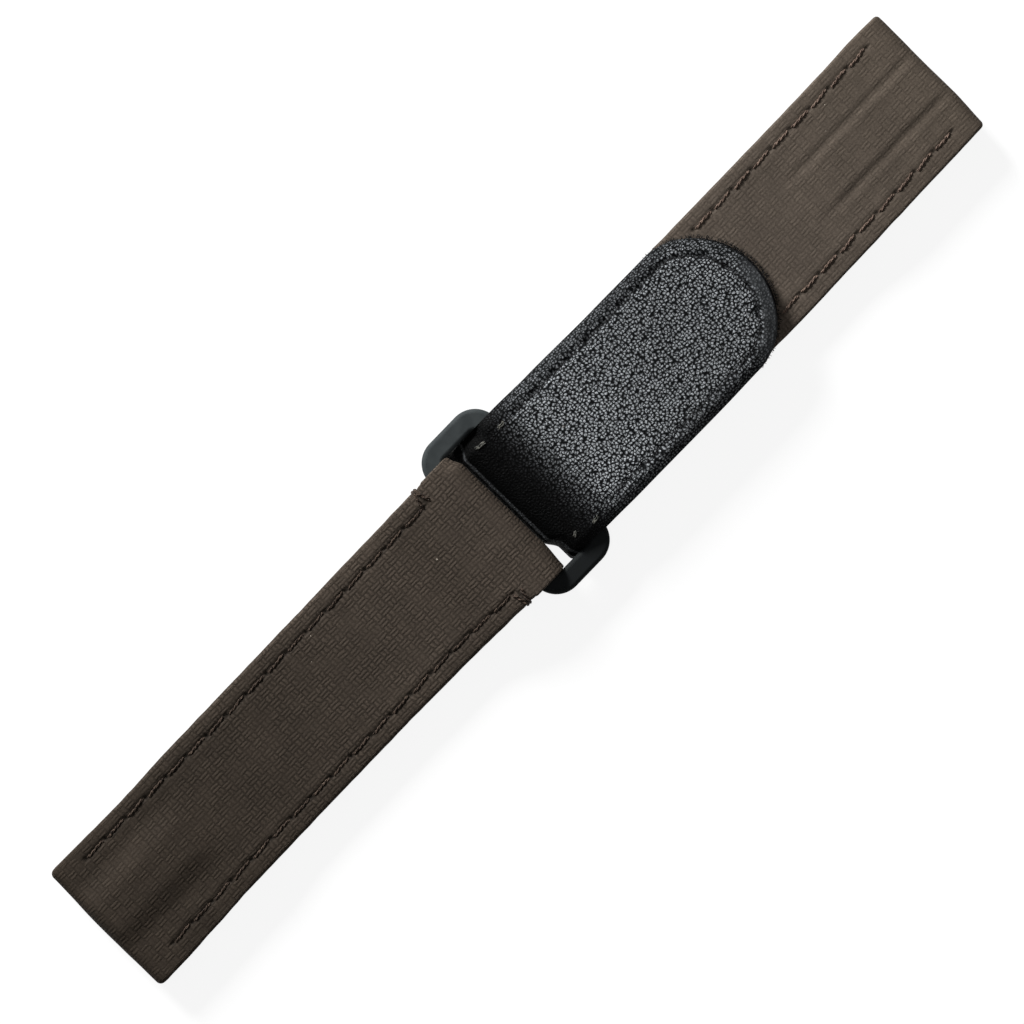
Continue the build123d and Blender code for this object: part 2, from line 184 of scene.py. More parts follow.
def paper(name, colour, glow, mirrored):
    """White paper that also glows for what looks straight at it, or sees it in a mirror."""
    material, tree, shader = new_finish(name, 1.0, 0.0)
    feed(shader.inputs["Base Color"], (colour, colour, colour))
    feed(shader.inputs["Emission Color"], (1, 1, 1))
    rays = add_node(tree, "ShaderNodeLightPath").outputs
    seen = Wire(rays["Is Camera Ray"])
    for ray in ("Is Glossy Ray", "Is Transmission Ray") if mirrored else ():
        seen = seen.calc("MAXIMUM", Wire(rays[ray]))
    feed(shader.inputs["Emission Strength"], seen * glow)
    return material


def staged(name, bm, material):
    """Turns a bmesh into a piece of the studio."""
    mesh = bpy.data.meshes.new(name)
    bm.to_mesh(mesh)
    bm.free()
    mesh.materials.append(material)
    put(name, mesh)


floor_mesh = bmesh.new()
bmesh.ops.create_circle(floor_mesh, cap_ends=True, segments=FLOOR_SIDES, radius=FLOOR_RADIUS)
bmesh.ops.translate(floor_mesh, verts=floor_mesh.verts, vec=(0, 0, -FLOOR_DROP))
staged("floor", floor_mesh, paper("floor_paper", 0.20, 0.87, True))
wall_mesh = bmesh.new()
bmesh.ops.create_cone(
    wall_mesh, cap_ends=False, segments=FLOOR_SIDES, radius1=FLOOR_RADIUS, radius2=FLOOR_RADIUS,
    depth=BACKDROP_HEIGHT,
)
bmesh.ops.translate(wall_mesh, verts=wall_mesh.verts, vec=(0, 0, BACKDROP_HEIGHT / 2))
bmesh.ops.reverse_faces(wall_mesh, faces=wall_mesh.faces)
staged("backdrop", wall_mesh, paper("backdrop_paper", 0.3, 1.0, False))

# Short half's skin: one sheet of rubberised fabric, embossed with a basket weave, folded down
# over the core at both sides, round the spring-bar tunnel and round the ring's bar. Two rows of
# stitches pull it in, and a stiffener under it raises the middle of the lug end.
SKIN_THICK = 0.95
HALF_WIDTH = 10.0
FLAP_HALF = 9.2
WALL_THICK = 0.73
SKIN_EDGE = 0.55
SKIN_STEP = 0.3
LUG_RADIUS = 1.95
TUNNEL_X = 74.75
ROW_Y = 7.6
SHORT_HOLES = [-9.0 - (71.5 - 9.0) * i / 17 for i in range(18)]
TACK_X = -8.3
SHORT_BASE_X = -24.0
SHORT_FLAP_X = -68.0
CORE_END_X = -6.95
SKIN_INNER_HALF = 9.27
SHORT_EDGE_HIGH = [
    (-77, 9.87), (-63, 9.72), (-54, 9.99), (-42, 10.07), (-30, 10.15), (-21, 10.25), (-8, 10.28),
]
SHORT_EDGE_LOW = [
    (-77, -10.45), (-72, -10.43), (-66, -10.22), (-60, -9.96), (-42, -9.83), (-30, -9.80), (-21, -9.90),
    (-12, -10.10), (-8, -10.25),
]
SHORT_ROWS = {
    1: [(-72, 7.80), (-47, 7.65), (-9, 7.85)],
    -1: [(-72, -7.72), (-55, -7.50), (-20, -7.48), (-9, -7.95)],
}


def smooth(low, high, value):
    """Eases from 0 at low to 1 at high; low may be the larger."""
    t = min(1.0, max(0.0, (value - low) / (high - low)))
    return t * t * (3 - 2 * t)


def follow(stops, place):
    """Eases through stops, a list of (place, value) in rising order."""
    for (a, low), (b, high) in zip(stops, stops[1:]):
        if place < b:
            return low + (high - low) * smooth(a, b, place)
    return stops[-1][1]


def hump(distance, width):
    """Bell of height 1."""
    return exp(-((distance / width) ** 2))


def wander(x, y, seed):
    """Even noise from -1 to 1."""
    return noise.noise(Vector((x, y, seed)))


def line(length):
    """Move straight on."""
    return [(length, 0.0)]


def bend(radius, turn):
    """Move round an arc."""
    return [(radius * abs(turn), turn)]


def ramp(run, rise):
    """Two equal arcs that leave level and arrive level, rise outward."""
    radius = (run**2 + rise**2) / (4 * abs(rise))
    turn = asin(run / (2 * radius)) * (1 if rise > 0 else -1)
    return bend(radius, turn) + bend(radius, -turn)


def walk(x, z, heading, moves, step):
    """Samples (x, z, heading, distance) of a side view, drawn as moves of (length, turn)."""
    samples = [(x, z, heading, 0.0)]
    run = 0.0
    for length, turn in moves:
        count = max(1, ceil(length / step), ceil(abs(turn) / radians(7)))
        for _ in range(count):
            piece, swing = length / count, turn / count
            heading += swing / 2
            x += piece * cos(heading)
            z += piece * sin(heading)
            heading += swing / 2
            run += piece
            samples.append((x, z, heading, run))
    return samples


def closed_sheet(name, samples, section, **marks):
    """Sheet of real thickness that follows a side view. section gives one closed ring of
    (y, outward, across) for a sample, and a point may also carry its own shift along X.
    Each function of marks, of (x, y, z), is kept at the points as the attribute of its name."""
    rings = [section(*sample) for sample in samples]
    rows, columns = len(rings) - 1, len(rings[0])
    bm = bmesh.new()
    bmesh.ops.create_grid(bm, x_segments=columns, y_segments=rows, size=1)
    bm.verts.ensure_lookup_table()
    uv_layer = bm.loops.layers.uv.new("cloth")
    places = {}
    for i, (x, z, heading, run) in enumerate(samples):
        for j in range(columns + 1):
            y, outward, across, *shift = rings[i][j % columns]
            vert = bm.verts[i * (columns + 1) + j]
            vert.co.x = (x - sin(heading) * outward + (shift[0] if shift else 0)) * MM
            vert.co.y = y * MM
            vert.co.z = (z + cos(heading) * outward) * MM
            places[vert.index] = (run, across)
    for face in bm.faces:
        for loop in face.loops:
            loop[uv_layer].uv = places[loop.vert.index]
    for attribute, mark in marks.items():
        layer = bm.verts.layers.float.new(attribute)
        for vert in bm.verts:
            vert[layer] = mark(*(vert.co / MM))
    bmesh.ops.remove_doubles(bm, verts=bm.verts, dist=1e-7)
    bmesh.ops.dissolve_degenerate(bm, edges=bm.edges, dist=1e-7)
    bmesh.ops.holes_fill(bm, edges=bm.edges, sides=0)
    bmesh.ops.recalc_face_normals(bm, faces=bm.faces)
    return finished(name, bm, 50)


def finished(name, bm, sharp_degrees):
    """Turns a bmesh into an object at the origin, smooth except at sharp corners."""
    mesh = bpy.data.meshes.new(name)
    bm.to_mesh(mesh)
    bm.free()
    mesh.shade_smooth()
    mesh.set_sharp_from_angle(angle=radians(sharp_degrees))
    return put(name, mesh)


def across_stops(half, dense, pitch_wide, pitch_fine, reach):
    """Places across a face, closer together within reach of y = ±dense."""
    stops = []
    y = -half
    while y < half:
        stops.append(y)
        y += pitch_fine if abs(abs(y) - dense) < reach else pitch_wide
    stops.append(half)
    return stops


SKIN_STOPS = across_stops(HALF_WIDTH - SKIN_EDGE, ROW_Y, 0.42, 0.14, 0.95)


def wrapped(half, depth, inner_half, face, edge=SKIN_EDGE):
    """Ring of a sheet whose sides turn down by depth; face(y) gives the relief of its top."""
    depth = max(depth, SKIN_THICK + 0.01)
    low = 0.25
    right = []
    for q in range(3):
        angle = pi / 2 * q / 2
        right.append((half - low + low * sin(angle), depth - low + low * cos(angle)))
    for q in range(1, 4):
        right.append((half, edge + (depth - low - edge) * (1 - q / 4)))
    for q in range(6):
        angle = pi / 2 * q / 6
        right.append((half - edge + edge * cos(angle), edge - edge * sin(angle)))
    scale = (half - edge) / SKIN_STOPS[-1]

    def wall(side):
        for y, down in right:
            yield side * y, -down + face(side * y) * max(0.0, 1 - down / edge), side * (half + down)

    ring = list(wall(1))
    ring += [(y * scale, face(y * scale), y * scale) for y in reversed(SKIN_STOPS)]
    ring += reversed(list(wall(-1)))
    ring += [(-inner_half, -depth, -half - depth - 1), (-inner_half, -SKIN_THICK, -half - depth - 2)]
    ring += [(0, -SKIN_THICK, 0), (inner_half, -SKIN_THICK, half + depth + 2)]
    return ring + [(inner_half, -depth, half + depth + 1)]


def row_place(x, y, holes, rows):
    """Place of a point beside a row of stitches: distance across the slanted stitch, share of
    the way along it, and distance to the nearest hole."""
    side = 1 if y > 0 else -1
    off = y - follow(rows[side], x)
    pitch = abs(holes[1] - holes[0])
    share = (x - min(holes)) / pitch
    within = share % 1 if 0 <= share < len(holes) - 1 else -1.0
    near = min(abs(x - hole) for hole in holes)
    return off - (within - 0.5) * 0.3 if within >= 0 else off, within, hypot(near, off)


def row_relief(x, y, holes, rows, groove, pit):
    """How far a row of stitches pulls the face in, with the swell beside it."""
    off, within, to_hole = row_place(x, y, holes, rows)
    if abs(off) > 2.2:
        return 0.0
    lying = smooth(0.03, 0.25, within) * smooth(0.99, 0.80, within)
    shape = -groove * hump(off, 0.30) * (0.35 + 0.65 * lying) if within >= 0 else 0.0
    shape += 0.045 * (hump(off - 0.85, 0.5) + hump(off + 0.85, 0.5)) * lying
    return shape - pit * hump(to_hole, 0.30)


def row_shade(x, y, z, holes, rows, groove):
    """How dark the painted shade in a row of stitches is, from 0 to 1: in the slit along each stitch and in
    its needle holes.
    """
    off, within, to_hole = row_place(x, y, holes, rows)
    if abs(off) > 1.5 or z < 2:
        return 0.0
    lying = smooth(0.03, 0.25, within) * smooth(0.99, 0.80, within)
    slit = max(0.0, lying * groove * (1 + 1.3 * wander(x / 0.9, y / 0.5, 6)))
    pit = (0.40 + 0.70 * groove) * hump(to_hole, 0.34)
    return min(1.0, max(pit, slit * hump(off + 0.10, 0.29 + 0.14 * wander(x / 1.6, 0, 7))))


def short_shade(x, y, z):
    """Painted shade in the short half's rows and round its tack stitches, from 0 to 1, less a painted
    highlight along its high (+Y) edge, which turns towards the light.
    """
    tack = 0.7 * hump(x - TACK_X, 0.42) * smooth(7.6, 8.2, abs(y)) if z > 2 else 0.0
    # painted highlight: the high edge, which faces the light, is made paler
    painted_edge_highlight = 0.14 * smooth(8.3, 9.0, y)
    return max(tack, row_shade(x, y, z, SHORT_HOLES, SHORT_ROWS, 0.78)) - painted_edge_highlight


def short_face(x, y, on_top):
    """Relief of the short skin's outer face in millimetres."""
    relief = 0.05 * wander(x / 9, y / 6, 1) + 0.025 * wander(x / 2.6, y / 2.2, 2)
    if not on_top:
        return (relief - 0.075) * 0.5
    relief += row_relief(x, y, SHORT_HOLES, SHORT_ROWS, 0.14, 0.26)
    band = smooth(-56.5, -63.0, x) * smooth(-76.6, -74.6, x)
    slope_high = 1 - smooth(2.0, 6.0, y)
    slope_low = 1 - smooth(-1.2, -5.0, y)
    relief += band * (0.66 * slope_high * slope_low - 0.26)
    relief += 0.03 * band * wander(x / 3.0, y / 0.8, 3)
    return relief


LUG_CORNER = 0.32
LUG_X = TUNNEL_X + LUG_RADIUS


def corner_loss(x):
    """How much narrower a lug end is at x, where its corners are rounded."""
    past = min(LUG_CORNER, max(0.0, abs(x) - (LUG_X - LUG_CORNER)))
    return LUG_CORNER - sqrt(LUG_CORNER**2 - past**2)


def lopsided(ring, low, high, reach=(0, 0)):
    """Moves a ring drawn about y = 0 to its place between low and high, its ends slanted by
    reach, the shifts along X at the low and the high side."""
    centre = (low + high) / 2
    placed = []
    for y, outward, across in ring:
        slant = reach[1] * smooth(0, 10, y) + reach[0] * smooth(-4, -10, y)
        placed.append((y + centre, outward, across, slant))
    return placed


def short_section(x, z, heading, run):
    on_top = cos(heading) > 0.2
    low, high = follow(SHORT_EDGE_LOW, x), follow(SHORT_EDGE_HIGH, x)
    if x > CORE_END_X and z > 3.95:
        low, high = low - 0.13, high + 0.12
    ripple = 0.05 * wander(run / 1.9, 0, 5) * smooth(-6.0, -9.0, x)
    depth = SKIN_THICK
    from_tunnel = x + TUNNEL_X
    if 0 <= from_tunnel <= 1.0:
        depth = LUG_RADIUS - sqrt(max(0.0, 1 - from_tunnel**2))
    elif from_tunnel > 1.0 and x <= CORE_END_X:
        if on_top:
            depth = z - 0.35 * smooth(-9.95, -6.45, x)
        else:
            low, high = low + HALF_WIDTH - FLAP_HALF, high - HALF_WIDTH + FLAP_HALF
    half = (high - low) / 2 + ripple - corner_loss(x)
    if on_top:
        half -= 0.16 * hump(x - TACK_X, 0.5)
    inner_half = min(half - WALL_THICK, SKIN_INNER_HALF)
    centre = (low + high) / 2
    edge = SKIN_EDGE - 0.30 * smooth(-9.0, -6.0, x)
    ring = wrapped(half, depth, inner_half, lambda y: short_face(x, y + centre, on_top), edge)
    ring = lopsided(ring, low, high, (0, 0.40 * smooth(-71, -76, x)))
    pull = smooth(-7.5, -1.6, x)
    if pull == 0:
        return ring
    moved = []
    for y, outward, across, slant in ring:
        far = smooth(8.0, 10.0, y) if y > 0 else smooth(-6.2, -10.2, y)
        reach = (0.55 if outward < -0.5 else 0.65) if y > 0 else 0.32
        moved.append((y, outward, across, -reach * far * pull))
    return moved


short_moves = line(5.73) + line(0.02) + line(1.0) + bend(LUG_RADIUS, -pi)
short_moves += line(1.0) + line(0.02) + line(11.73) + ramp(14.0, -0.6) + line(28.05) + ramp(13.0, 2.15)
short_moves += line(2.85) + bend(2.55, -pi) + line(2.35) + ramp(3.5, 0.35) + line(14.05)
short_skin = closed_sheet(
    "short_skin_cloth", walk(SHORT_FLAP_X, 0, pi, short_moves, SKIN_STEP), short_section,
    mark=short_shade,
)


def blend_colour(tree, factor, first, second):
    """Mixes two colours; each is a colour of three numbers or a wire."""
    mix = add_node(tree, "ShaderNodeMix", {0: factor, 6: first, 7: second}, data_type="RGBA")
    return Wire(mix.outputs[2])


def new_effect(name, inputs, outputs):
    """Empty node group: its tree, the wires that come in and the sockets that go out."""
    tree = bpy.data.node_groups.new(name, "ShaderNodeTree")
    for way, sockets in (("INPUT", inputs), ("OUTPUT", outputs)):
        for label, kind in sockets.items():
            tree.interface.new_socket(label, in_out=way, socket_type=kind)
    entry, leaving = tree.nodes.new("NodeGroupInput"), tree.nodes.new("NodeGroupOutput")
    return tree, {socket.name: Wire(socket) for socket in entry.outputs}, leaving.inputs


def use_effect(tree, effect, **values):
    """Places a node group in a material and gives its outputs as wires."""
    node = tree.nodes.new("ShaderNodeGroup")
    node.node_tree = effect
    for label, value in values.items():
        feed(node.inputs[label.replace("_", " ")], value)
    return {socket.name: Wire(socket) for socket in node.outputs}


def cloth_place(tree):
    """Coordinates that follow the sheet, in millimetres along it and across it."""
    return Wire(add_node(tree, "ShaderNodeUVMap", uv_map="cloth").outputs["UV"])


def object_place(tree):
    """Coordinates of the piece itself, in millimetres."""
    place = Wire(add_node(tree, "ShaderNodeTexCoord").outputs["Object"])
    return place.into("ShaderNodeMapping", {"Vector": place, "Scale": (1 / MM, 1 / MM, 1 / MM)})


def painted(tree, attribute):
    """Attribute of the piece's points."""
    return Wire(add_node(tree, "ShaderNodeAttribute", attribute_name=attribute).outputs["Fac"])


def emboss(shader, height, depth_mm):
    """Feeds a height of 0 to 1 into the shader's normal."""
    bump = height.into("ShaderNodeBump", {"Height": height, "Distance": depth_mm * MM, "Strength": 1.0})
    feed(shader.inputs["Normal"], bump)


# Basket weave embossed in the rubber: blocks of two soft ridges along the strap take turns with
# blocks of two ridges across it, each row shifted by half a repeat against the next.
WEAVE_REPEAT = 2.62
WEAVE_ROW = 0.95
WEAVE_LONG_SHARE = 0.54

weave, weave_in, weave_out = new_effect(
    "basket_weave",
    {"Place": "NodeSocketVector", "Cross": "NodeSocketFloat"},
    {"Height": "NodeSocketFloat", "Tone": "NodeSocketFloat"},
)


def pushed(place, scale, shift):
    """A place pushed about by noise of a scale, by shift in millimetres at most."""
    push = place.noise(scale, output="Color")
    return push.into("ShaderNodeVectorMath", (push, shift, place), operation="MULTIPLY_ADD")


def ridges(value, count):
    """Rounded ridges, count of them from 0 to 1."""
    return (value * (pi * count)).calc("SINE").calc("ABSOLUTE").calc("POWER", 1.4)


def fading_ends(value, steep):
    """1 in the middle of 0 to 1, falling to 0 at both ends."""
    return (value * (1.0 - value) * steep).calc("MINIMUM", 1.0)


weave_place = pushed(weave_in["Place"], 0.7, (0.60, 0.34, 0.0))
weave_place = pushed(weave_place, 2.6, (0.34, 0.13, 0.0))
row_count = weave_place.part("Y") / WEAVE_ROW
row_number = row_count.calc("FLOOR")
in_row = row_count.calc("FRACT")
half_shift = row_number.calc("FLOORED_MODULO", 2.0) * 0.5
repeat_count = weave_place.part("X") / WEAVE_REPEAT + half_shift
in_repeat = repeat_count.calc("FRACT")
is_long = in_repeat.calc("LESS_THAN", WEAVE_LONG_SHARE)
in_long = in_repeat / WEAVE_LONG_SHARE
in_cross = (in_repeat - WEAVE_LONG_SHARE) / (1 - WEAVE_LONG_SHARE)
long_block = ridges(in_row, 2) * fading_ends(in_long, 7.0)
cross_block = ridges(in_cross, 2) * fading_ends(in_row, 6.0)
cross_block = (cross_block - 0.5) * weave_in["Cross"] + 0.5
feed(weave_out["Height"], is_long.into("ShaderNodeMix", {0: is_long, 2: cross_block, 3: long_block}))
block_number = is_long.into("ShaderNodeCombineXYZ", (repeat_count.calc("FLOOR") + is_long * 0.5, row_number))
feed(weave_out["Tone"], block_number.into("ShaderNodeTexWhiteNoise", {"Vector": block_number}, "Value"))

# Fine dust that sticks to rubber and leather
dust, dust_in, dust_out = new_effect(
    "dust", {"Place": "NodeSocketVector", "Spacing": "NodeSocketFloat"}, {"Speck": "NodeSocketFloat"}
)
dust_place = dust_in["Place"].scaled(1.0 / dust_in["Spacing"])
dust_cells = add_node(dust, "ShaderNodeTexVoronoi", {"Vector": dust_place, "Scale": 1.0}).outputs
dust_size = Wire(dust_cells["Color"]).calc("POWER", 6.0) * 0.14
feed(dust_out["Speck"], Wire(dust_cells["Distance"]).calc("LESS_THAN", dust_size))


def dusted(tree, place, spacing, tone, speck_colour):
    """A tone with specks of dust on it, spacing millimetres apart."""
    specks = use_effect(tree, dust, Place=place, Spacing=spacing)["Speck"]
    return blend_colour(tree, specks, tone, speck_colour)


def rubber_cloth(name, base, far_base, painted_light_span, cross, contrast):
    """Embossed rubberised fabric. Its colour drifts from base to far_base over painted_light_span, a painted
    falloff of the light along the strap, and the ridges across it grow stronger over cross; both are two
    places along the strap. The weave's grooves are darkened, by contrast, as painted shade."""
    material, tree, shader = new_finish(name, 0.8, 0.12)
    place = cloth_place(tree)
    body_place = object_place(tree)
    along = body_place.part("X")
    pattern = use_effect(tree, weave, Place=place, Cross=along.spread(*cross, 0.45, 1.15))
    height = pattern["Height"]
    cloudy = body_place.noise(0.16).spread(0.3, 0.7, 0.93, 1.07)
    grit = place.noise(4.0, 4.0).spread(0.25, 0.75, 0.80, 1.20)
    patchy = place.noise(0.35).spread(0.32, 0.62, 0.45, 1.1)
    # relief paints shade into the weave's grooves; mark paints shade in the rows of stitches, and a highlight
    # where it is below 0
    relief = (height - 0.47) * patchy * (0.58 * contrast) + 1.0
    block = pattern["Tone"] * 0.12 + 0.94
    light = (cloudy * grit) * (relief * block) * (1.0 - painted(tree, "mark") * 0.78)
    # painted light: the colour drifts along the strap as the light falls off
    tone = blend_colour(tree, along.spread(*painted_light_span), base, far_base).scaled(light)
    feed(shader.inputs["Base Color"], dusted(tree, place, 2.3, tone, (0.34, 0.30, 0.25)))
    feed(shader.inputs["Roughness"], height.spread(0.0, 1.0, 0.9, 0.72))
    emboss(shader, height * patchy + place.noise(9.0, 3.0) * 0.35, 0.042 * contrast)
    return material


# Painted light: the short half is darker at its lug end and paler towards the ring, as the light falls off
# along it
short_skin.data.materials.append(rubber_cloth(
    "brown_cloth_short", (0.0355, 0.0272, 0.0202), (0.0565, 0.0443, 0.0345), (-62.0, 0.0), (-70.0, -44.0), 1.0
))
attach(short_skin, "short_strap")
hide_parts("short_skin")

# Long half's skin: the same sheet, folded down at both sides and round the tunnel only. Its end
# behind the ring is cut square. Narrow creases run along both sides of its stiffener.
LONG_HOLES = [40.6 + 32.0 * i / 9 for i in range(10)]
LONG_END_X = 7.0
CREASES = (3.3, -3.36)
LONG_EDGE_HIGH = [
    (7, 9.65), (30, 9.65), (36, 9.90), (54, 9.92), (60, 9.93), (66, 10.01), (72, 10.18), (77, 10.10),
]
LONG_EDGE_LOW = [
    (7, -10.1), (36, -10.22), (42, -10.26), (54, -10.07), (60, -9.93), (66, -9.83), (77, -9.69),
]
LONG_ROWS = {1: [(40, 7.76), (60, 7.85), (73, 8.03)], -1: [(40, -7.78), (56, -7.65), (73, -7.30)]}
LONG_SKIN_EDGE = 0.40


def long_face(x, y, on_top):
    """Relief of the long skin's outer face in millimetres."""
    relief = 0.045 * wander(x / 8, y / 6, 11) + 0.02 * wander(x / 2.4, y / 2.0, 12)
    if not on_top:
        return (relief - 0.065) * 0.5
    relief += row_relief(x, y, LONG_HOLES, LONG_ROWS, 0.07, 0.26)
    band = smooth(51.0, 58.5, x) * smooth(76.6, 73.6, x)
    for crease in CREASES:
        relief -= 0.16 * band * hump(y - crease - 0.15 * wander(x / 5, 0, 13), 0.5)
        relief += 0.05 * band * hump(abs(y - crease) - 0.9, 0.5)
    relief += 0.08 * band * (1 - smooth(2.2, 4.2, abs(y)))
    return relief


def long_section(x, z, heading, run):
    on_top = cos(heading) > 0.2
    low, high = follow(LONG_EDGE_LOW, x), follow(LONG_EDGE_HIGH, x)
    depth = SKIN_THICK
    from_tunnel = TUNNEL_X - x
    if 0 <= from_tunnel <= 1.0:
        depth = LUG_RADIUS - sqrt(max(0.0, 1 - from_tunnel**2))
    elif from_tunnel > 1.0:
        if on_top:
            depth = z
        else:
            low, high = low + HALF_WIDTH - FLAP_HALF, high - HALF_WIDTH + FLAP_HALF
    half = (high - low) / 2 + 0.04 * wander(run / 2.1, 0, 15) - corner_loss(x)
    inner_half = min(half - WALL_THICK, SKIN_INNER_HALF)
    centre = (low + high) / 2
    ring = wrapped(half, depth, inner_half, lambda y: long_face(x, y + centre, on_top), LONG_SKIN_EDGE)
    near_end = smooth(70, 76, x)
    return lopsided(ring, low, high, (-0.34 * near_end, 0.22 * near_end))


long_moves = line(41.0) + ramp(14.0, 0.9) + line(11.73) + line(0.02) + line(1.0) + bend(LUG_RADIUS, -pi)
long_moves += line(1.0) + line(0.02) + line(5.73)
long_skin = closed_sheet(
    "long_skin_cloth", walk(LONG_END_X, STRAP_FACE_Z, 0, long_moves, SKIN_STEP), long_section,
    mark=lambda x, y, z: row_shade(x, y, z, LONG_HOLES, LONG_ROWS, 0.30),
)
# Painted light: the long half, the same fabric as the short half, is given a paler brown because it lies in
# more light
long_skin.data.materials.append(rubber_cloth(
    "brown_cloth_long", (0.0880, 0.0704, 0.0560), (0.0885, 0.0704, 0.0547), (44.0, 76.0), (62.0, 34.0), 0.62
))
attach(long_skin, "long_strap")
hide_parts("long_skin")

# Cores and stiffeners: foam filler and the stiff tapes inside both halves, which only show
# at the edges of the skin
foam, foam_tree, foam_shader = new_finish("core_filler", 0.9, 0.3)
foam_cells = object_place(foam_tree).noise(3.0, 4.0)
foam_tone = blend_colour(foam_tree, foam_cells, (0.035, 0.032, 0.03), (0.075, 0.068, 0.06))
feed(foam_shader.inputs["Base Color"], foam_tone)
emboss(foam_shader, foam_cells, 0.08)

webbing, webbing_tree, webbing_shader = new_finish("stiffener_web", 0.7, 0.4)
webbing_place = object_place(webbing_tree)
webbing_threads = webbing_place.into("ShaderNodeTexWave", {"Vector": webbing_place, "Scale": 0.8}, "Fac")
webbing_tone = blend_colour(webbing_tree, webbing_threads, (0.03, 0.03, 0.03), (0.10, 0.10, 0.095))
feed(webbing_shader.inputs["Base Color"], webbing_tone)
emboss(webbing_shader, webbing_threads, 0.05)

for half_name in ("short", "long"):
    for part_name, material in (("core", foam), ("stiffener", webbing)):
        inner = nodes[f"{half_name}_{part_name}"]
        inner.data.materials.clear()
        inner.data.materials.append(material)

# Black leather: fine pebble grain with dark gaps and paler, greyer tops, whose paleness is a painted
# highlight
grain, grain_in, grain_out = new_effect(
    "pebble_grain",
    {"Place": "NodeSocketVector", "Cells per mm": "NodeSocketFloat"},
    {"Height": "NodeSocketFloat", "Tops": "NodeSocketFloat"},
)
grain_place = pushed(grain_in["Place"], 1.1, (0.2, 0.2, 0.2))
grain_place = pushed(grain_place, 3.4, (0.44, 0.44, 0.44))
to_gap, to_middle = (
    add_node(
        grain, "ShaderNodeTexVoronoi",
        {"Vector": grain_place, "Scale": grain_in["Cells per mm"], "Randomness": 0.80},
        feature=feature, voronoi_dimensions="2D",
    ).outputs
    for feature in ("DISTANCE_TO_EDGE", "F1")
)
from_gap = Wire(to_gap["Distance"])
own = Wire(to_middle["Color"])
feed(grain_out["Height"], from_gap.spread(0.0, 0.40) * (own * 0.55 + 0.45))
spot = Wire(to_middle["Distance"]).spread(0.70, 0.05)
fine_fleck = grain_in["Place"].noise(6.5, 3.0).spread(0.32, 0.68, 0.20, 1.85)
pebble_top = (spot * from_gap.spread(0.0, 0.22)).calc("POWER", 1.5)
feed(grain_out["Tops"], pebble_top * (own.spread(0.2, 0.8, 0.82, 1.0) * fine_fleck))


def grained_leather(name, roughness, gap, top, depth, painted_light_stops, highlight_span=None):
    """Leather with pebble grain, from the colour of its gaps to that of its tops, whose pale grey is a
    painted highlight.
    painted_light_stops, a list of (place along the sheet, share), sets how much of it shows; it rises, and at
    0 the leather is painted black as shade. Tops are even in the painted highlight line of highlight_span and
    where "pressed" is 1."""
    material, tree, shader = new_finish(name, roughness, 0.05)
    place = cloth_place(tree)
    pebble = use_effect(tree, grain, Place=place, Cells_per_mm=2.25)
    along = place.part("X")
    # painted light along the sheet: how much of the tops' painted highlight shows, down to black painted
    # shade
    share = painted_light_stops[0][1]
    for (a, low), (b, high) in zip(painted_light_stops, painted_light_stops[1:]):
        share = along.spread(a, b, 0.0, high - low) + share
    patchy = place.noise(0.5, 3.0).spread(0.3, 0.7, 0.88, 1.12)
    # mark darkens the tops: painted shade, and the tab's dark cut edge
    unmarked = 1.0 - painted(tree, "mark") * 0.8
    flat = painted(tree, "pressed")
    tops = pebble["Tops"] * (patchy * unmarked) * (1.0 - flat * 0.75) + flat * 0.085
    # painted highlight line along the span given
    if highlight_span:
        start, end = highlight_span
        strip = along.spread(start, start + 0.1).calc("MINIMUM", along.spread(end, end - 0.1))
        tops = tops.calc("MAXIMUM", strip * 0.3)
    tone = blend_colour(tree, share, (0.0012, 0.0013, 0.0013), blend_colour(tree, tops, gap, top))
    feed(shader.inputs["Base Color"], dusted(tree, place, 2.6, tone, (0.20, 0.19, 0.18)))
    feed(shader.inputs["Roughness"], tops.spread(0.1, 0.8, 0.65, roughness))
    emboss(shader, pebble["Height"] * (1.0 - flat * 0.8), depth)
    return material


# Hide: one strap of black leather, which lines the long half, runs on as the tail under the
# ring's bar, bends up through the ring and lies back over it as the tab
LEATHER_THICK = 1.3
TAB_TOP = 5.8
TAB_HALF = 10.35
TAB_STRAIGHT_X = 33.4
TAB_TIP_X = 42.4
LINE_HALF = 8.15
LINE_TIP_X = 40.2
LINE_START_X = 8.1
HIDE_STEP = 0.32
HIDE_END_X = 68.0
HIDE_EDGE = 0.45
HIDE_UNDER_EDGE = 0.15


def tongue_line(start_x, straight_x, tip_x, half, side_count, tip_count):
    """Needle holes in order up one side, round the tip and back down the other side."""
    pitch = (straight_x - start_x) / side_count
    side = [(start_x + pitch * i, half) for i in range(side_count)]
    tip = []
    for i in range(tip_count + 1):
        angle = pi / 2 - pi * i / tip_count
        tip.append((straight_x + (tip_x - straight_x) * cos(angle), half * sin(angle)))
    return side + tip + [(x, -y) for x, y in reversed(side)]


TAB_HOLES = tongue_line(LINE_START_X, TAB_STRAIGHT_X, LINE_TIP_X, LINE_HALF, 8, 7)


def beyond(x, y, straight_x, tip_x, half):
    """Distance outside a tongue's outline, negative inside it."""
    if x <= straight_x:
        return abs(y) - half
    long = tip_x - straight_x
    level = hypot((x - straight_x) / long, y / half)
    if level < 0.05:
        return -min(long, half)
    slope = hypot((x - straight_x) / long**2, y / half**2) / level
    return (level - 1) / slope


TAB_HIGH = [(-0.4, 10.30), (3, 10.33), (6, 10.33), (12, 10.15), (24, 9.93), (33.4, 9.87)]
TAB_LOW = [(-0.4, -10.30), (3, -10.45), (6, -10.60), (12, -10.70), (27, -10.78), (33.4, -10.70)]


